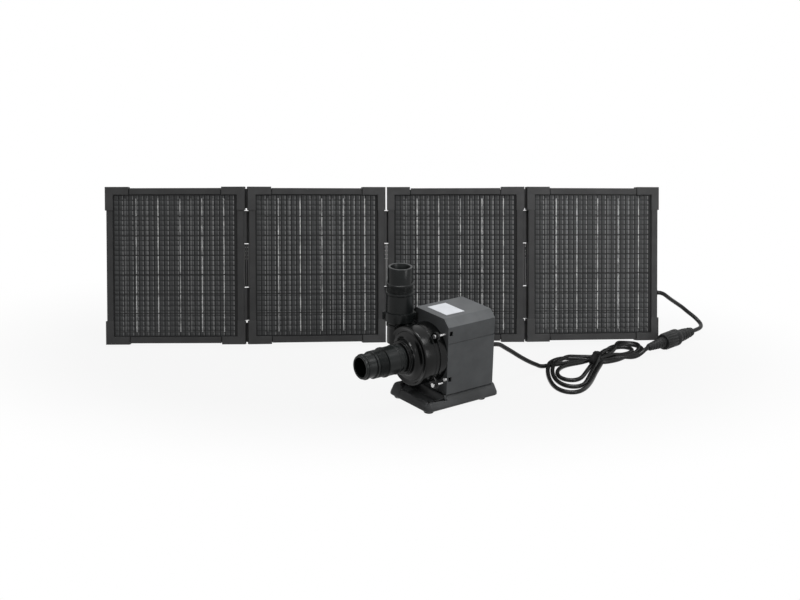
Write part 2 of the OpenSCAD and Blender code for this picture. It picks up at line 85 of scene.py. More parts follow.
cam = bpy.data.objects.new("camera", bpy.data.cameras.new("camera"))
bpy.context.scene.collection.objects.link(cam)
bpy.context.scene.camera = cam
cam.data.lens = 72
cam.data.sensor_width = 36
cam.data.clip_end = 50
cam.location = (0.02255, -2.25246, 0.85992)
cam.rotation_euler = (Matrix.Rotation(math.radians(71.5), 3, "X")
                      @ Matrix.Rotation(math.radians(1.4), 3, "Z")).to_euler()

# ---------- materials ----------


class Field:
    """A number that varies over a surface, with plain arithmetic in the node tree."""

    def __init__(self, tree, socket):
        self.tree, self.socket = tree, socket

    def math(self, op, *others):
        node = self.tree.nodes.new("ShaderNodeMath")
        node.operation = op
        for i, v in enumerate((self,) + others):
            if isinstance(v, Field):
                self.tree.links.new(v.socket, node.inputs[i])
            else:
                node.inputs[i].default_value = v
        return Field(self.tree, node.outputs[0])

    def __add__(self, v): return self.math("ADD", v)
    def __sub__(self, v): return self.math("SUBTRACT", v)
    def __mul__(self, v): return self.math("MULTIPLY", v)
    def __truediv__(self, v): return self.math("DIVIDE", v)
    def frac(self): return self.math("FRACT")
    def abs(self): return self.math("ABSOLUTE")
    def floor(self): return self.math("FLOOR")
    def power(self, v): return self.math("POWER", v)
    def maximum(self, v): return self.math("MAXIMUM", v)
    def minimum(self, v): return self.math("MINIMUM", v)

    def step(self, a, b):
        """0 at a, 1 at b and beyond, smooth between; a may be above b."""
        node = self.tree.nodes.new("ShaderNodeMapRange")
        node.interpolation_type = "SMOOTHSTEP"
        self.tree.links.new(self.socket, node.inputs[0])
        low, high, to0, to1 = (a, b, 0, 1) if a < b else (b, a, 1, 0)
        for i, v in zip((1, 2, 3, 4), (low, high, to0, to1)):
            node.inputs[i].default_value = v
        return Field(self.tree, node.outputs[0])


class Paint:
    """A material with one Principled shader and helpers for the nodes that feed it."""

    def __init__(self, name, **values):
        self.mat = bpy.data.materials.new(name)
        self.mat.use_nodes = True
        self.tree = self.mat.node_tree
        self.shader = self.tree.nodes["Principled BSDF"]
        self.shader.inputs["Specular IOR Level"].default_value = 0.14
        for key, value in values.items():
            self.shader.inputs[key.replace("_", " ")].default_value = value

    def coords(self, kind="Object"):
        node = self.tree.nodes.new("ShaderNodeTexCoord")
        return node.outputs[kind]

    def split(self, socket):
        node = self.tree.nodes.new("ShaderNodeSeparateXYZ")
        self.tree.links.new(socket, node.inputs[0])
        return [Field(self.tree, s) for s in node.outputs]

    def noise(self, scale, detail=2.0, stretch=(1, 1, 1)):
        mapping = self.tree.nodes.new("ShaderNodeMapping")
        mapping.inputs["Scale"].default_value = stretch
        self.tree.links.new(self.coords(), mapping.inputs[0])
        node = self.tree.nodes.new("ShaderNodeTexNoise")
        node.inputs["Scale"].default_value = scale
        node.inputs["Detail"].default_value = detail
        self.tree.links.new(mapping.outputs[0], node.inputs["Vector"])
        return Field(self.tree, node.outputs["Fac"])

    def mix(self, field, a, b):
        node = self.tree.nodes.new("ShaderNodeMix")
        node.data_type = "RGBA"
        self.tree.links.new(field.socket, node.inputs[0])
        for socket, value in ((node.inputs[6], a), (node.inputs[7], b)):
            if isinstance(value, tuple):
                socket.default_value = value
            else:
                self.tree.links.new(value, socket)
        return node.outputs[2]

    def set(self, name, value):
        socket = value.socket if isinstance(value, Field) else value
        self.tree.links.new(socket, self.shader.inputs[name])

    def bump(self, height, distance, strength=1.0, soften=0.0):
        node = self.tree.nodes.new("ShaderNodeBump")
        node.inputs["Distance"].default_value = distance
        node.inputs["Strength"].default_value = strength
        self.tree.links.new(height.socket, node.inputs["Height"])
        if soften:
            edge = self.tree.nodes.new("ShaderNodeBevel")
            edge.samples = 4
            edge.inputs["Radius"].default_value = soften
            self.tree.links.new(edge.outputs[0], node.inputs["Normal"])
        self.tree.links.new(node.outputs[0], self.shader.inputs["Normal"])


def grey(v, tint=(1.0, 1.0, 1.0)):
    """Linear colour from an 8-bit screen grey and a tint."""
    c = ((v / 255 + 0.055) / 1.055) ** 2.4 if v > 10 else v / 255 / 12.92
    return (c * tint[0], c * tint[1], c * tint[2], 1.0)


def moulded(name, shade, tint=(1, 1, 1), roughness=0.5, grain=2600, depth=0.00003,
            vary=0.12, soften=0.0005, **extra):
    """Moulded plastic or coated metal: fine grain, faint cloudiness, softened edges."""
    p = Paint(name, **extra)
    cloud = p.noise(38, 3)
    fine = p.noise(grain, 2)
    p.set("Base Color", p.mix(cloud.step(0.3, 0.7), grey(shade * (1 - vary), tint),
                              grey(shade * (1 + vary), tint)))
    p.set("Roughness", cloud * 0.16 + fine * 0.1 + (roughness - 0.13))
    p.bump(fine, depth, 0.7, soften)
    return p.mat


def brushed(name, shade, roughness=0.35, stretch=(1, 1, 30), tint=(1, 1, 1), soften=0.0003):
    """Worked metal with fine lines."""
    p = Paint(name, Metallic=1.0, Specular_IOR_Level=0.5)
    lines = p.noise(900, 3, stretch)
    cloud = p.noise(60, 2)
    p.set("Base Color", p.mix(cloud, grey(shade * 0.88, tint), grey(shade * 1.08, tint)))
    p.set("Roughness", lines * 0.2 + cloud * 0.1 + (roughness - 0.15))
    p.bump(lines, 0.00002, 0.5, soften)
    return p.mat


PANEL_W, PANEL_H = 214, 242
FILM_X, FILM_Z = 12.9, 13.0    # corner of the first dimple
DIMPLE = 7.72
FILM_COLUMNS, FILM_ROWS = 24, 28
FILM_X1 = FILM_X + DIMPLE * FILM_COLUMNS
FILM_Z1 = FILM_Z + DIMPLE * FILM_ROWS
BAR_X, BAR_PITCH = 30.3, 16.83    # first busbar and the step to the next
BARS = 10
CELL_Z = 18    # the lowest cell row starts here, and the highest ends as far from the top
CELL_ROW = (PANEL_H - 2 * CELL_Z + 1.6) / 7


def film_material():
    """Dimpled clear film over dark cells: rows of cells, bright busbars, and dimple tops painted
    paler as a painted sheen.
    """
    p = Paint("solar_film", Specular_IOR_Level=0.22)
    u, v, _ = p.split(p.coords("UV"))
    x, z = u * 1000, v * 1000
    wobble = p.noise(420, 2)
    patch = p.noise(60, 2)
    # Dimples, their tops marked for a painted sheen
    px = ((x - FILM_X) / DIMPLE).frac() - 0.5
    pz = ((z - FILM_Z) / DIMPLE).frac() - 0.5
    edge = px.abs().maximum(pz.abs() * 0.87)
    field = (x.step(FILM_X, FILM_X + 0.1) * x.step(FILM_X1, FILM_X1 - 0.1)
             * z.step(FILM_Z, FILM_Z + 0.1) * z.step(FILM_Z1, FILM_Z1 - 0.1))
    top = edge.step(0.45, 0.33) * field
    # Busbars, broad and dull or thin and bright in turn
    bar = (x - BAR_X) / BAR_PITCH + 0.5
    off = ((bar.frac() - 0.5) * BAR_PITCH + (wobble - 0.5) * 1.1).abs()
    odd = ((bar.floor() * 0.5).frac() * 2)
    inside = bar.step(-0.02, 0.0) * bar.step(BARS + 0.02, BARS)
    thin = off.step(0.85, 0.4) * odd
    broad = off.step(1.7, 0.7) * (odd * -1 + 1)
    # Cell rows
    line = (z - CELL_Z) / CELL_ROW
    gap = ((line + 0.02).frac() - 0.03).abs().step(0.05, 0.015)
    ends = z.step(CELL_Z - 0.5, CELL_Z + 0.5)
    ends = ends * z.step(PANEL_H - CELL_Z + 0.5, PANEL_H - CELL_Z - 0.5)
    # The dimple tops are painted paler than the dark cells, in patches: a painted sheen of light on
    # the clear film
    cell = p.mix(top * (patch * 0.6 + 0.4), grey(8, (0.92, 1.0, 1.08)),
                 grey(68, (0.97, 1.0, 1.02)))
    # Light caught along the dimples' right flanks, stronger in some columns than in others
    column = (((x - FILM_X) / DIMPLE).floor() * 1.7).math("SINE").abs()
    flank = (px - 0.3).abs().step(0.12, 0.03) * pz.abs().step(0.42, 0.3) * field
    cell = p.mix(flank * (column * 0.5 + 0.08) * (wobble * 0.8 + 0.4), cell, grey(165))
    # Thin busbars are painted brighter on the dimple tops as a painted sheen, and vary in random
    # patches
    thin = thin * (top * 0.35 + 0.65) * (patch.step(0.35, 0.6) * 0.6 + 0.4)
    bars = (thin + broad * top * 0.13) * inside * ends * (gap * -1 + 1)
    lit = p.mix(bars.minimum(1.0), cell, grey(215))
    p.set("Base Color", p.mix(gap * ends * 0.8, lit, grey(14)))
    p.set("Roughness", top * -0.1 + wobble * 0.25 + 0.38)
    p.bump(p.noise(3000, 1), 0.00003, 0.6)
    return p.mat


MAT = {
    "panel_frame": moulded("frame_coating", 64, (1.0, 1.0, 1.01), 0.55, 3200, 0.00002, 0.05),
    "corner_plastic": moulded("corner_plastic", 69, (1.0, 1.0, 1.01), 0.58, 2400, 0.00003, 0.06),
    "film": film_material(),
    "hinge_metal": brushed("hinge_metal", 92, 0.45),
    "leg_metal": brushed("leg_metal", 120, 0.5, (30, 1, 1)),
    "black_plastic": moulded("black_plastic", 42, (0.97, 1.0, 1.0), 0.42, 2600, 0.00003, 0.08),
    "base_plastic": moulded("base_plastic", 78, (0.97, 1.0, 1.02), 0.32, 2600, 0.00003, 0.08),
    "gloss_black": moulded("gloss_black", 12, (0.9, 1.0, 1.0), 0.2, 1500, 0.00001, 0.1,
                           Specular_IOR_Level=0.2),
    "tail_plastic": moulded("tail_plastic", 26, (0.84, 1.0, 1.0), 0.28, 1800, 0.00002, 0.1,
                            Specular_IOR_Level=0.2),
    "housing_grey": moulded("housing_grey", 94, (0.96, 1.0, 1.03), 0.5, 2800, 0.00003, 0.05,
                            Specular_IOR_Level=0.14),
    "rubber": moulded("rubber", 16, (1, 1, 1), 0.7, 1400, 0.00005, 0.15),
    "cord_rubber": moulded("cord_rubber", 13, (0.98, 1, 1), 0.27, 1600, 0.00001, 0.12, soften=0,
                           Specular_IOR_Level=0.25),
    "label": moulded("label_paper", 214, (0.96, 0.985, 1.03), 0.45, 1800, 0.00001, 0.02),
    "steel": brushed("screw_steel", 205, 0.28, (1, 1, 1)),
    "copper": brushed("copper_winding", 150, 0.35, (1, 1, 30), (1.5, 0.75, 0.4)),
    "bronze": brushed("bronze", 160, 0.35, (1, 1, 1), (1.2, 0.9, 0.5)),
    "lamination": brushed("lamination", 120, 0.4, (30, 1, 1)),
    "magnet": brushed("magnet", 80, 0.5, (1, 1, 1)),
    "impeller_plastic": moulded("impeller_plastic", 200, (1, 1, 1), 0.45),
    "board": moulded("board", 80, (0.35, 1.1, 0.5), 0.5),
}

# ---------- mesh helpers ----------


def piece(name, mesh_or_bm, matrix, material, body, smooth=35.0, replaces=()):
    """Puts local geometry in the row frame, as an object that rides on a body."""
    if isinstance(mesh_or_bm, bmesh.types.BMesh):
        bm = mesh_or_bm
        bmesh.ops.transform(bm, matrix=matrix, verts=bm.verts)
        bmesh.ops.recalc_face_normals(bm, faces=bm.faces)
        mesh = bpy.data.meshes.new(name)
        bm.to_mesh(mesh)
        bm.free()
    else:
        mesh = mesh_or_bm
        mesh.transform(matrix)
    for poly in mesh.polygons:
        poly.use_smooth = True
    mesh.set_sharp_from_angle(angle=math.radians(smooth))
    obj = bpy.data.objects.new(name, mesh)
    bpy.context.scene.collection.objects.link(obj)
    if material:
        mesh.materials.append(MAT[material])
    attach(obj, body)
    if replaces:
        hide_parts(*replaces)
    return obj


def lathe(bm, profile, at=(0, 0, 0), along="Z", steps=96, closed=False, turn=None):
    """Turns (radius, height) points round an axis; turn(angle, point) may move the radius.
    The profile's ends close on the axis, or on each other when closed is True."""
    rings = []
    for p in profile:
        ring = []
        for s in range(steps):
            a = 2 * math.pi * s / steps
            r = p[0] + (turn(a, p) if turn else 0.0)
            v = Vector((r * math.cos(a), r * math.sin(a), p[1]))
            if along == "X":
                v = Vector((v.z, -v.y, v.x))
            ring.append(bm.verts.new(v + Vector(at)))
        rings.append(ring)
    pairs = list(zip(rings, rings[1:])) + ([(rings[-1], rings[0])] if closed else [])
    for a, b in pairs:
        for s in range(steps):
            t = (s + 1) % steps
            bm.faces.new((a[s], a[t], b[t], b[s]))
    if not closed:
        bm.faces.new(list(reversed(rings[0])))
        bm.faces.new(rings[-1])
    return bm


def rounded(points, radius, steps=5):
    """The same outline with each corner rounded; a radius per point, or one for all."""
    out = []
    n = len(points)
    for i, p in enumerate(points):
        r = radius[i] if isinstance(radius, (list, tuple)) else radius
        a, b, c = Vector(points[i - 1]), Vector(p), Vector(points[(i + 1) % n])
        u, w = (a - b), (c - b)
        k = min(r, u.length * 0.45, w.length * 0.45)
        if k < 1e-6:
            out.append(tuple(b))
            continue
        u, w = b + u.normalized() * k, b + w.normalized() * k
        for s in range(steps + 1):
            t = s / steps
            q = u * (1 - t) ** 2 + b * 2 * t * (1 - t) + w * t * t
            out.append(tuple(q))
    return out


def soft_profile(points, radius, steps=4):
    """An open profile with its inner corners rounded."""
    last = len(points) - 1
    return rounded(points, [0 if i in (0, last) else radius for i in range(last + 1)], steps)


def stack(bm, outline, levels, basis=None):
    """Closed solid over an outline, each (height, inset) level drawn in from its edge."""
    pts = [Vector(p) for p in outline]
    n = len(pts)
    area = sum(pts[i - 1].x * pts[i].y - pts[i].x * pts[i - 1].y for i in range(n))
    side = 1 if area > 0 else -1
    rings = []
    for z, inset in levels:
        ring = []
        for i, p in enumerate(pts):
            d = pts[(i + 1) % n] - pts[i - 1]
            q = p + Vector((-d.y, d.x)).normalized() * side * inset
            v = Vector((q.x, q.y, z))
            ring.append(bm.verts.new(basis @ v if basis else v))
        rings.append(ring)
    for a, b in zip(rings, rings[1:]):
        for i in range(n):
            k = (i + 1) % n
            bm.faces.new((a[i], a[k], b[k], b[i]))
    bm.faces.new(list(reversed(rings[0])))
    bm.faces.new(rings[-1])
    return bm


def prism(bm, outline, z0, z1, bevel=0.0, steps=3, basis=None):
    """Upright prism over an outline, its level edges rounded in by bevel."""
    if not bevel:
        return stack(bm, outline, [(z0, 0), (z1, 0)], basis)
    up = np.linspace(0, math.pi / 2, steps + 1)
    levels = [(z0 + bevel * (1 - math.sin(a)), bevel * (1 - math.cos(a))) for a in up[::-1]]
    levels += [(z1 - bevel * (1 - math.sin(a)), bevel * (1 - math.cos(a))) for a in up]
    return stack(bm, outline, levels, basis)


def block(bm, lo, hi, radius=0.5, basis=None):
    outline = rounded([(lo[0], lo[1]), (hi[0], lo[1]), (hi[0], hi[1]), (lo[0], hi[1])], radius)
    return prism(bm, outline, lo[2], hi[2], radius, basis=basis)


# ---------- cords ----------

CORD_R = 3.25
FRONT = PANEL[4] @ Vector((0, 0, 0))
FRONT_NORMAL = (PANEL[4].to_3x3() @ Vector((0, -1, 0))).normalized()


def smooth_line(points, spacing):
    """Catmull-Rom curve through the points, sampled evenly."""
    p = np.array([points[0]] + list(points) + [points[-1]], float)
    dense = []
    for i in range(1, len(p) - 2):
        a, b, c, d = p[i - 1], p[i], p[i + 1], p[i + 2]
        for t in np.linspace(0, 1, 24, endpoint=False):
            dense.append(0.5 * (2 * b + (c - a) * t + (2 * a - 5 * b + 4 * c - d) * t * t
                                + (3 * b - a - 3 * c + d) * t ** 3))
    dense.append(p[-2])
    dense = np.array(dense)
    run = np.concatenate([[0], np.cumsum(np.linalg.norm(np.diff(dense, axis=0), axis=1))])
    even = np.linspace(0, run[-1], max(2, int(round(run[-1] / spacing)) + 1))
    return np.stack([np.interp(even, run, dense[:, k]) for k in range(3)], axis=1)


CLEAR = 0.3    # space left between a cord and the last panel's frame
FRAME_X = 640    # it is kept clear of that frame only beyond this x


def keep_apart(pos, home, free, apart, need):
    """Pushes strands that touch away from each other; one laid higher goes over the other."""
    diff = pos[:, None, :] - pos[None, :, :]
    dist = np.linalg.norm(diff, axis=2)
    hit = (dist < need) & apart
    if not hit.any():
        return
    order = np.arange(len(pos))
    push = diff / np.maximum(dist, 1e-6)[:, :, None]
    level = np.abs(push[:, :, 2]) < 0.35
    over = home[:, None, 2] - home[None, :, 2] + 1e-3 * (order[:, None] - order[None, :])
    push[:, :, 2] += np.where(level, 0.6 * np.sign(over), 0)
    push /= np.maximum(np.linalg.norm(push, axis=2), 1e-6)[:, :, None]
    move = (push * ((need - dist) * 0.5 * hit)[:, :, None])
    count = np.maximum(hit.sum(axis=1), 1)[:, None]
    pos += move.sum(axis=1) / count * free[:, None] * 0.9


def settle(line, radius, held, rounds=260):
    """Lets a laid cord come to rest: strands push apart, stay above the floor and in front of
    the last panel's frame, and keep near their laid route."""
    home = line.copy()
    pos = line.copy()
    n = len(pos)
    rest = np.linalg.norm(np.diff(home, axis=0), axis=1)
    free = np.ones(n)
    free[held] = 0
    plane = np.array(FRONT_NORMAL)
    foot = (np.array(FRONT) + np.array(ORIGIN) * MM) / MM
    idx = np.arange(n)
    skip = int(6 * radius / rest.mean()) + 2
    apart = np.abs(idx[:, None] - idx[None, :]) > skip
    for _ in range(rounds):
        # Weight, and the pull of the laid route
        pos[:, 2] -= 0.25 * free
        pos += (home - pos) * np.array([0.05, 0.05, 0.004]) * free[:, None]
        keep_apart(pos, home, free, apart, 2 * radius + 0.25)
        # Stiffness, then the cord's own length
        mid = (pos[:-2] + pos[2:]) / 2
        pos[1:-1] += (mid - pos[1:-1]) * 0.4 * free[1:-1, None]
        for _ in range(2):
            seg = np.diff(pos, axis=0)
            ln = np.linalg.norm(seg, axis=1)
            fix = seg * ((ln - rest) / np.maximum(ln, 1e-6) * 0.25)[:, None]
            pos[:-1] += fix * free[:-1, None]
            pos[1:] -= fix * free[1:, None]
        # The last panel's frame and the floor
        gap = (pos - foot) @ plane
        near = (gap < radius + CLEAR) & (pos[:, 2] > 5) & (gap > -12) & (pos[:, 0] > FRAME_X)
        push = np.where(near, (radius + CLEAR - gap) * 0.5, 0)
        pos += plane * push[:, None] * free[:, None]
        pos[:, 2] = np.where(free > 0, np.maximum(pos[:, 2], radius + 0.05), pos[:, 2])
    # Even out the line, most where it bends tightest
    w, ease = 4, 17.0
    for _ in range(45):
        soft = pos.copy()
        soft[2:-2] = (pos[:-4] + pos[1:-3] * 2 + pos[2:-2] * 2 + pos[3:-1] * 2 + pos[4:]) / 8
        a, b, c = pos[:-2 * w], pos[w:-w], pos[2 * w:]
        sides = [np.linalg.norm(v, axis=1) for v in (b - a, c - b, c - a)]
        area = np.linalg.norm(np.cross(b - a, c - a), axis=1) / 2
        bend = sides[0] * sides[1] * sides[2] / np.maximum(4 * area, 1e-6)
        tight = np.zeros(n)
        tight[w:-w] = np.clip((ease - bend) / ease * 2, 0, 1)
        tight = np.convolve(tight, np.ones(9) / 9, "same")
        pos += (soft - pos) * (0.12 + 0.88 * tight)[:, None] * free[:, None]
        pos[:, 2] = np.where(free > 0, np.maximum(pos[:, 2], radius + 0.05), pos[:, 2])
    return pos


def cord_curve(name, line_mm, radius):
    curve = bpy.data.curves.new(name, "CURVE")
    curve.dimensions = "3D"
    spline = curve.splines.new("POLY")
    spline.points.add(len(line_mm) - 1)
    for point, p in zip(spline.points, line_mm):
        point.co = (*row(p), 1.0)
    curve.bevel_depth = radius * MM
    curve.bevel_resolution = 5
    curve.use_fill_caps = True
    curve.materials.append(MAT["cord_rubber"])
    obj = bpy.data.objects.new(name, curve)
    bpy.context.scene.collection.objects.link(obj)
    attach(obj, "base")
    return obj


LEAD = [(582.6, -126.2, 66), (589, -121, 65), (597, -112, 61), (606, -103, 53), (617, -92, 43),
        (629, -81, 32), (642, -69, 21), (654, -58, 12), (664, -49, 6), (673, -42, 3.5)]
BUNDLE = [
    # in through the tie, out to the top of the right lobe and back under
    (690, -33, 3.5), (712, -25, 3.5), (733, -16, 4), (752, -7, 6), (768, 12, 12),
    (779, 32, 16), (789, 51, 18), (800, 66, 18), (813, 72, 15), (825, 67, 11), (829, 53, 7),
    (822, 35, 4), (808, 18, 3.5), (794, 3, 3.5), (778, -10, 3.5), (764, -18, 3.5), (752, -22, 4),
    # outer turn of the left lobe
    (735, -14, 10), (716, -6, 11), (700, -7, 8), (686, -16, 5), (677, -34, 3.5), (673, -62, 3.5),
    (673, -94, 3.5), (677, -124, 3.5), (686, -143, 3.5), (701, -151, 3.5), (716, -143, 3.5),
    (729, -117, 3.5), (741, -79, 3.5), (752, -42, 6), (760, -12, 12),
    # middle turn of the right lobe
    (768, 14, 12), (778, 35, 12), (791, 53, 10), (806, 65, 8), (819, 66, 5), (828, 54, 3.5),
    (829, 37, 3.5), (820, 20, 3.5), (804, 9, 5), (784, 3, 9), (762, -3, 12),
    # second turn of the left lobe
    (738, 3, 16), (716, -1, 15), (699, -11, 11), (687, -28, 8), (681, -52, 7), (680, -82, 5),
    (684, -106, 4), (694, -123, 3.5), (708, -129, 3.5), (721, -121, 3.5), (729, -101, 3.5),
    (736, -74, 4), (745, -44, 9), (755, -12, 16),
    # inner turn of the right lobe
    (766, 14, 17), (776, 33, 17), (787, 49, 15), (800, 57, 13), (813, 54, 11), (820, 42, 9),
    (816, 27, 8), (804, 15, 9), (789, 6, 12), (772, -2, 16), (752, -13, 14),
    # inner turn of the left lobe
    (733, -20, 8), (712, -30, 6), (696, -43, 4), (687, -62, 4), (686, -82, 3.5),
    (693, -98, 3.5), (706, -105, 3.5), (718, -97, 3.5), (726, -78, 4), (736, -50, 8),
    (750, -22, 14),
    # out to the connector
    (770, -9, 13), (790, -1, 9), (806, 4, 6), (817, 8, 6),
]
TAIL = [(824, 12, 8), (829, 16, 11.5), (835.2, 22.2, 13.5)]

pump_line = smooth_line(LEAD + BUNDLE + TAIL, 3.2)
held = [i for i, p in enumerate(pump_line) if p[2] > 9 and p[0] < 665]
held += list(range(len(pump_line) - 5, len(pump_line)))
pump_line = settle(pump_line, CORD_R, held)
pump_cord = cord_curve("pump_cord", pump_line, CORD_R)
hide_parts("pump_cord_lead", "pump_cord_hank", "pump_cord_tail")

PANEL_ROUTE = [(857, 114.5, 73.3), (863.5, 115.7, 72.6), (870, 118, 69.5), (878, 124, 62.5),
               (886, 131, 55.5), (895, 138.5, 48), (905, 144.5, 40), (915, 147.5, 31.5),
               (924.5, 147, 24.5), (931.5, 142.5, 19), (935, 135, 15.8), (934.5, 126.5, 14),
               (930, 118, 13.5), (922, 109, 13.5), (914, 101, 13.5)]
panel_line = smooth_line(PANEL_ROUTE, 3)
panel_cord = cord_curve("panel_cord_run", panel_line, CORD_R)
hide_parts("panel_cord")

# ---------- connector ----------


def rib(x, r, height, width):
    """Four profile points of a rounded rib standing on a surface of radius r."""
    return [(r, x - width * 0.55), (r + height, x - width * 0.3),
            (r + height, x + width * 0.3), (r, x + width * 0.55)]


def boot_profile():
    pts = [(3.4, -58), (4.4, -58)]
    for i in range(5):
        x = -53.5 + i * 6.2
        pts += rib(x, 4.3 + (x + 58) * 0.095, 1.15, 3.6)
    pts += [(8.2, -26.4), (8.6, -20), (8.6, -4), (3.4, -4)]
    return pts


bm = bmesh.new()
lathe(bm, soft_profile(boot_profile(), 0.6, 3), along="X", steps=48)
piece("socket_boot", bm, PLUG, "black_plastic", "base", 40, ("socket_body",))

bm = bmesh.new()
grips = 18
nut_profile = [(9.1, -20, 0), (11.6, -20, 0), (12.4, -19.2, 0), (12.6, -16.5, 0), (12.9, -15.5, 1),
               (12.9, 4.5, 1), (12.6, 5.5, 0), (12.9, 6.5, 0), (13.45, 7.2, 0), (13.45, 13.5, 0),
               (12.9, 15.2, 0), (11.8, 16, 0), (9.1, 16, 0)]
lathe(bm, nut_profile, along="X", steps=grips * 8, closed=True,
      turn=lambda a, p: p[2] * (0.5 * max(-1, min(1, 2.2 * math.cos(grips * a))) - 0.05))
piece("coupling_nut_grip", bm, PLUG, "black_plastic", "nut", 40, ("coupling_nut",))

bm = bmesh.new()
plug_profile = [(3.4, -1), (8.8, -1), (8.8, 16.2), (10.2, 16.6), (10.5, 17.4), (10.5, 20.5),
                (9.2, 21.2), (9.2, 23.2), (10.0, 23.8), (10.0, 27.5), (8.8, 28.2), (8.8, 30.5),
                (9.6, 31), (9.6, 34.5), (8.2, 35.2), (8.2, 37.2), (8.9, 37.8), (8.9, 41),
                (7.3, 41.8), (7.0, 46.4), (8.0, 47), (8.0, 49), (6.4, 49.6), (6.2, 51.4),
                (6.9, 52), (6.9, 54.2), (5.6, 55), (3.4, 55)]
lathe(bm, soft_profile(plug_profile, 0.35, 2), along="X", steps=48)
piece("plug_grip", bm, PLUG, "black_plastic", "base", 40, ("plug_body",))

# ---------- cord tie ----------

tie_turn = Matrix.Rotation(math.radians(-28), 4, "Z")
TIE = Matrix.Translation(row((750, -18, 0))) @ tie_turn @ Matrix.Scale(MM, 4)
TIE_Y, TIE_Z = 18.6, 8.6    # half width and half height of the band
TIE_MID = 8.9
bm = bmesh.new()
band = []
for a in np.linspace(0, 2 * math.pi, 40, endpoint=False):
    c, s = math.cos(a), math.sin(a)
    band.append((math.copysign(abs(c) ** 0.75, c) * TIE_Y,
                 math.copysign(abs(s) ** 0.85, s) * TIE_Z + TIE_MID))
for x, grow in ((-3.4, 0.0), (-2.9, 0.5), (2.9, 0.5), (3.4, 0.0)):
    for y, z in band:
        bm.verts.new((x, y * (1 + grow * 0.02), TIE_MID + (z - TIE_MID) * (1 + grow * 0.04)))
bm.verts.ensure_lookup_table()
n = len(band)
for k in range(3):
    for s in range(n):
        t = (s + 1) % n
        quad = (k * n + s, k * n + t, (k + 1) * n + t, (k + 1) * n + s)
        bm.faces.new([bm.verts[i] for i in quad])
bm.faces.new([bm.verts[s] for s in range(n)])
bm.faces.new([bm.verts[3 * n + s] for s in reversed(range(n))])
block(bm, (-4.2, -4, 15.5), (4.2, 5, 19.0), 1.0)
piece("tie_band", bm, TIE, "rubber", "base", 40, ("cord_tie",))

# ---------- pump front ----------

AXIS_Z = 76
BORE = 14.0
EAR_X, EAR_H = 14, 4    # back face of the screw ears along the pump's axis, and their depth
EAR_AT = 36    # the ears' centres lie this far from the axis, both across and up or down
OUTLET_AT = (22.5, -41, 0)


def thread(x0, x1, r, pitch, depth):
    """Profile points of fine rings from x0 to x1."""
    pts = []
    step = pitch if x1 > x0 else -pitch
    for i in range(int(round(abs(x1 - x0) / pitch))):
        x = x0 + i * step
        pts += [(r - depth, x + step * 0.05), (r, x + step * 0.3), (r, x + step * 0.7),
                (r - depth, x + step * 0.95)]
    return pts


def front_body(bm):
    """Drum with a rounded rim, stepped face and inlet boss, open down to the chamber."""
    drum = [(35.9, 14), (42.4, 14), (43, 14.5), (43, 18.4), (42.3, 19), (42.3, 20.2), (43, 20.8),
            (43, 35.6), (42.7, 36.9), (41.8, 37.9), (40.4, 38.1), (38.8, 37.2), (37.4, 36.6),
            (35.4, 36.6), (34.6, 37.6), (31.8, 38.1), (29.2, 38.3), (27.2, 39.2), (24.6, 41.6),
            (24.1, 44.2), (24.1, 47.6), (23.3, 48.2), (23.3, 49.2), (24.1, 49.8), (24.1, 51.4),
            (23.4, 52), (13.1, 52), (13.1, 33), (35.9, 33)]
    lathe(bm, drum, (0, 0, AXIS_Z), "X", 128, closed=True)
    for y, z in ((EAR_AT, EAR_AT), (EAR_AT, -EAR_AT), (-EAR_AT, -EAR_AT)):
        reach = math.hypot(y, z)
        ear = [(34, -7), (reach - 2, -7), (reach + 2.6, -6.2), (reach + 5.6, -3.6),
               (reach + 6.9, 0), (reach + 5.6, 3.6), (reach + 2.6, 6.2), (reach - 2, 7), (34, 7)]
        turn = Matrix.Rotation(math.atan2(z, y), 4, "X")
        # The outline lies across the pump's axis and the height runs along it
        basis = Matrix.Translation((0, 0, AXIS_Z)) @ turn @ Matrix(
            ((0, 0, 1, 0), (1, 0, 0, 0), (0, 1, 0, 0), (0, 0, 0, 1)))
        prism(bm, rounded(ear, 1.2, 3), EAR_X, EAR_X + EAR_H, 0.8, basis=basis)
    neck = [(11, 82), (17, 82), (17, 106), (18.2, 107.2), (18.2, 110.2), (17, 111.4),
            (17, 115.5), (11, 115.5)]
    lathe(bm, neck, OUTLET_AT, "Z", 64, closed=True)


bm = bmesh.new()
front_body(bm)
piece("volute_shell", bm, PUMP, "gloss_black", "base", 38, ("volute_front",))

# Profiles of the hose tails, as radius and place along the axis
INLET = ([(BORE, 52.2), (20.2, 52.2), (20.2, 54.6), (19.0, 55.4), (19.0, 59.6), (20.5, 60.4),
          (21.3, 61.4), (21.3, 63.4), (20.5, 64.4), (20.5, 80.4), (21.4, 81), (21.4, 83),
          (19.2, 83.6)]
         + thread(84, 97, 19.6, 1.45, 0.75)
         + [(18.2, 97.4), (18.2, 98.6), (19.6, 99.2), (19.6, 101.4), (17.6, 102), (17.3, 112.4),
            (18.4, 113), (18.4, 115), (17.0, 115.6), (16.9, 118.7), (16.2, 119.5),
            (14.4, 119.5), (13.9, 118.8)])
bm = bmesh.new()
lathe(bm, INLET, (0, 0, AXIS_Z), "X", 128, closed=True)
piece("inlet_tail", bm, PUMP, "tail_plastic", "base", 32, ("inlet_adaptor",))

OUTLET = ([(13, 115.7), (19.3, 115.7), (19.3, 130), (19.4, 154), (18.6, 154.6), (20.0, 155.4),
           (20.0, 157.4)]
          + thread(158.2, 168, 19.0, 1.4, 0.7)
          + [(19.2, 168.4), (19.2, 170.2), (17.9, 171), (17.7, 192.8), (17.0, 194), (14.2, 194),
             (13.6, 193)])
bm = bmesh.new()
lathe(bm, OUTLET, OUTLET_AT, "Z", 128, closed=True)
piece("outlet_tail", bm, PUMP, "tail_plastic", "base", 32, ("outlet_adaptor",))

# ---------- base of the pump ----------

BASE_BACK, BASE_FRONT, BASE_HALF = -94, 35, 46


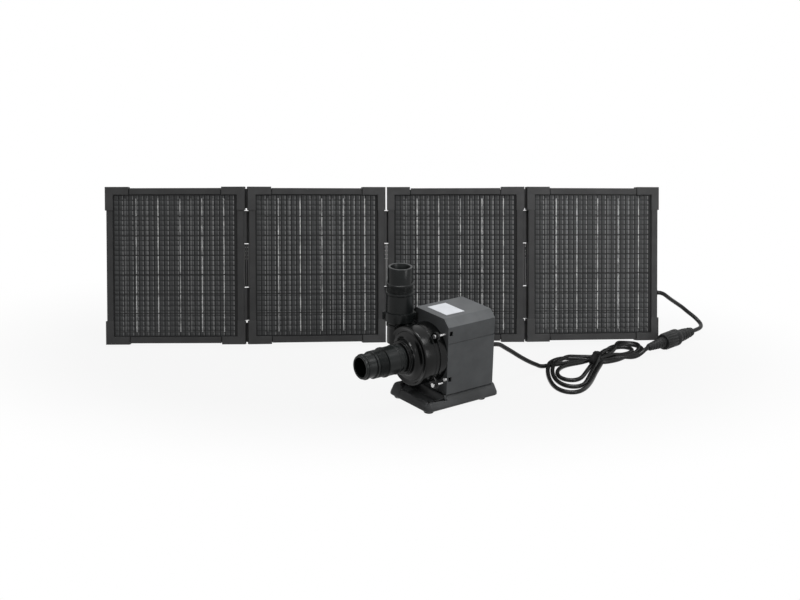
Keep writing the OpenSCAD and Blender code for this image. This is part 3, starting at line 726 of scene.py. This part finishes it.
def base_shell():
    """Thin plate with a raised rear, a lobe at the left front, a low arm at the right front,
    and a roll along the front edge between them."""
    bm = bmesh.new()
    plate = rounded([(BASE_BACK, -BASE_HALF), (BASE_FRONT, -BASE_HALF),
                     (BASE_FRONT, BASE_HALF), (BASE_BACK, BASE_HALF)], [7, 8, 9, 7], 6)
    stack(bm, plate, [(4, 1.2), (5.2, 0), (7, 0), (11.5, 1.4)])
    rear = rounded([(BASE_BACK, -BASE_HALF), (6, -BASE_HALF),
                    (6, BASE_HALF), (BASE_BACK, BASE_HALF)], [7, 3, 3, 7], 6)
    stack(bm, rear, [(7, 0), (9, 0.1), (20, 4.6), (21.8, 6.0), (22.7, 8.0), (23, 10)])
    lobe = rounded([(-6, -BASE_HALF), (BASE_FRONT, -BASE_HALF), (BASE_FRONT, -17), (-6, -20)],
                   [3, 9, 7, 3], 6)
    stack(bm, lobe, [(7, 0), (9, 0.2), (18.5, 4.0), (21, 5.6), (22.5, 7.8), (23, 10.4)])
    arm = rounded([(-4, 33.5), (27, 33.5), (34.6, 38), (31, BASE_HALF), (-4, BASE_HALF)],
                  [2, 3, 4, 8, 2], 5)
    stack(bm, arm, [(7, 0), (9, 0.2), (14.5, 2.4), (16.4, 3.6), (17, 5)])
    roll = [(24.5, 8), (24.8, 12.5), (26.2, 15.4), (28.4, 16.8), (30.6, 16.4), (32.8, 14.4),
            (34.3, 11.2), (BASE_FRONT, 8)]
    along_y = Matrix(((1, 0, 0, 0), (0, 0, 1, 0), (0, 1, 0, 0), (0, 0, 0, 1)))
    stack(bm, rounded(roll, 0.8, 3), [(-20, 0), (36.5, 0), (38.5, 0.8), (39.5, 2.2)], along_y)
    return bm


piece("base_shell", base_shell(), PUMP, "base_plastic", "base", 42, ("base_plate",))

# ---------- panels ----------


def dimple_height(u, v):
    """Height of one dimple's pillow at a point of its square, 0 to 1."""
    a, b = abs(2 * u - 1), abs(2 * v - 1)
    return (1 - min(1, a * 1.12) ** 5) * (1 - min(1, b * 1.12) ** 5)


def film(k):
    """Front film with its dimples standing on a flat sheet, closed at the back."""
    cut = [0.0, 0.07, 0.2, 0.5, 0.8, 0.93]
    inset, front, back = 4.1, 3.16, 6.2
    margin = 11.6    # a line of the grid between the sheet's edge and the dimples
    xs = [inset, margin]
    xs += [FILM_X + DIMPLE * (i + c) for i in range(FILM_COLUMNS) for c in cut]
    xs += [FILM_X1, PANEL_W - margin, PANEL_W - inset]
    zs = [inset, margin]
    zs += [FILM_Z + DIMPLE * (i + c) for i in range(FILM_ROWS) for c in cut]
    zs += [FILM_Z1, PANEL_H - margin, PANEL_H - inset]
    nx, nz = len(xs), len(zs)
    verts = []
    for z in zs:
        for x in xs:
            gx, gz = (x - FILM_X) / DIMPLE, (z - FILM_Z) / DIMPLE
            h = 0.0
            if 0 < gx < FILM_COLUMNS and 0 < gz < FILM_ROWS:
                i, j = math.floor(gx + 1e-6), math.floor(gz + 1e-6)
                lift = 0.75 + 0.5 * noise.noise((i * 0.37 + k * 9.1, j * 0.41, 2.5))
                h = dimple_height(gx - i, gz - j) * lift
            sag = 0.12 * noise.noise((x * 0.02 + k * 5, z * 0.02, 0.3))
            verts.append((x, front - 0.62 * h + (sag if h else 0) * 0.5, z))
    faces = [(j * nx + i, j * nx + i + 1, (j + 1) * nx + i + 1, (j + 1) * nx + i)
             for j in range(nz - 1) for i in range(nx - 1)]
    base = len(verts)
    corners = [(xs[0], zs[0]), (xs[-1], zs[0]), (xs[-1], zs[-1]), (xs[0], zs[-1])]
    verts += [(x, back, z) for x, z in corners]
    faces.append((base, base + 3, base + 2, base + 1))
    edge = [list(range(nx)), [j * nx + nx - 1 for j in range(nz)],
            [(nz - 1) * nx + i for i in reversed(range(nx))], [j * nx for j in reversed(range(nz))]]
    for s, line in enumerate(edge):
        faces.append(tuple(reversed(line)) + (base + s, base + (s + 1) % 4))
    mesh = bpy.data.meshes.new(f"film_{k}")
    mesh.from_pydata(verts, [], faces)
    layer = mesh.uv_layers.new(name="UVMap")
    co = np.array(verts)[:, [0, 2]] * MM
    loops = np.zeros(len(mesh.loops), int)
    mesh.loops.foreach_get("vertex_index", loops)
    layer.data.foreach_set("uv", co[loops].astype(np.float32).ravel())
    return piece(f"film_{k}", mesh, PANEL[k], "film", PANEL_BODY[k], 50,
                 (f"laminate_{k}", f"cells_{k}"))


for k in (1, 2, 3, 4):
    film(k)

# ---------- finish of the CAD nodes ----------

SLOT_OF = {
    "frame": "panel_frame", "corner_caps": "corner_plastic", "hinge": "hinge_metal",
    "back_leg": "leg_metal", "junction_box": "black_plastic", "panel_grommet": "rubber",
    "connector_seal": "rubber", "base_plate": "base_plastic", "rubber_feet": "rubber",
    "motor_housing": "housing_grey", "top_cover": "housing_grey", "label_plate": "label",
    "volute_back": "gloss_black", "volute_front": "gloss_black", "casing_gasket": "rubber",
    "impeller": "impeller_plastic", "rotor_magnet": "magnet", "shaft": "steel",
    "bearing_bushes": "bronze", "stator_core": "lamination", "stator_coils": "copper",
    "isolation_can": "black_plastic", "control_board": "board", "casing_screws": "steel",
    "outlet_adaptor": "tail_plastic", "outlet_collar": "tail_plastic",
    "inlet_adaptor": "tail_plastic", "pump_gland": "rubber",
}
for name, obj in frame["nodes"].items():
    if obj.hide_render:
        continue
    key = next((s for s in SLOT_OF if name.startswith(s)), None)
    if key:
        obj.data.materials.clear()
        obj.data.materials.append(MAT[SLOT_OF[key]])

# ---------- room and light ----------


def seen_directly(tree):
    """1 for camera, glossy and transmission rays, 0 for the light that shades things."""
    path = tree.nodes.new("ShaderNodeLightPath")
    value = Field(tree, path.outputs["Is Camera Ray"])
    value = value.maximum(Field(tree, path.outputs["Is Glossy Ray"]))
    return value.maximum(Field(tree, path.outputs["Is Transmission Ray"]))


def room_material(name, shade):
    """Pale floor with the object's shadow on it, passing to plain white further off."""
    mat = bpy.data.materials.new(name)
    mat.use_nodes = True
    tree = mat.node_tree
    shader = tree.nodes["Principled BSDF"]
    shader.inputs["Base Color"].default_value = (shade, shade, shade, 1)
    shader.inputs["Roughness"].default_value = 0.9
    shader.inputs["Specular IOR Level"].default_value = 0.0
    white = tree.nodes.new("ShaderNodeEmission")
    coords = tree.nodes.new("ShaderNodeTexCoord")
    split = tree.nodes.new("ShaderNodeSeparateXYZ")
    tree.links.new(coords.outputs["Object"], split.inputs[0])
    x, y, _ = (Field(tree, socket) for socket in split.outputs)
    away = ((x * x) * 0.75 + (y - 0.05) * (y - 0.05) * 2.2).power(0.5)
    amount = (away.step(0.32, 0.7) * 0.09 + 0.91) * seen_directly(tree)
    mix = tree.nodes.new("ShaderNodeMixShader")
    tree.links.new(amount.socket, mix.inputs[0])
    tree.links.new(shader.outputs[0], mix.inputs[1])
    tree.links.new(white.outputs[0], mix.inputs[2])
    tree.links.new(mix.outputs[0], tree.nodes["Material Output"].inputs[0])
    return mat


floor = bpy.data.meshes.new("floor")
floor.from_pydata([(-12, -6, 0), (12, -6, 0), (12, 14, 0), (-12, 14, 0)], [], [(0, 1, 2, 3)])
floor_obj = bpy.data.objects.new("floor", floor)
floor_obj.location.z = -0.0002
bpy.context.scene.collection.objects.link(floor_obj)
floor.materials.append(room_material("floor_white", 0.18))

world = bpy.data.worlds.new("studio")
bpy.context.scene.world = world
world.use_nodes = True
tree = world.node_tree
ambient = tree.nodes["Background"]
ambient.inputs[0].default_value = (1, 1, 1, 1)
ambient.inputs[1].default_value = 0.08
seen = tree.nodes.new("ShaderNodeBackground")
seen.inputs[0].default_value = (1, 1, 1, 1)
seen.inputs[1].default_value = 1.0
mix = tree.nodes.new("ShaderNodeMixShader")
tree.links.new(seen_directly(tree).socket, mix.inputs[0])
tree.links.new(ambient.outputs[0], mix.inputs[1])
tree.links.new(seen.outputs[0], mix.inputs[2])
tree.links.new(mix.outputs[0], tree.nodes["World Output"].inputs[0])


def lamp(name, place, target, size, power):
    data = bpy.data.lights.new(name, "AREA")
    data.shape = "RECTANGLE"
    data.size, data.size_y = size
    data.energy = power
    obj = bpy.data.objects.new(name, data)
    obj.location = place
    obj.rotation_euler = (Vector(target) - Vector(place)).to_track_quat("-Z", "Y").to_euler()
    bpy.context.scene.collection.objects.link(obj)


lamp("key", (1.0, -0.85, 0.45), (0.1, -0.1, 0.08), (0.3, 0.45), 3.0)
lamp("right", (0.5, -0.3, 0.85), (0.38, 0.05, 0.12), (0.3, 0.3), 2.6)
lamp("front", (-0.9, -2.0, 1.3), (0, 0, 0.1), (0.4, 0.4), 4)
lamp("top", (0.0, -0.15, 2.4), (0.0, -0.05, 0), (1.2, 0.6), 37)

bpy.context.scene.view_settings.view_transform = "Standard"
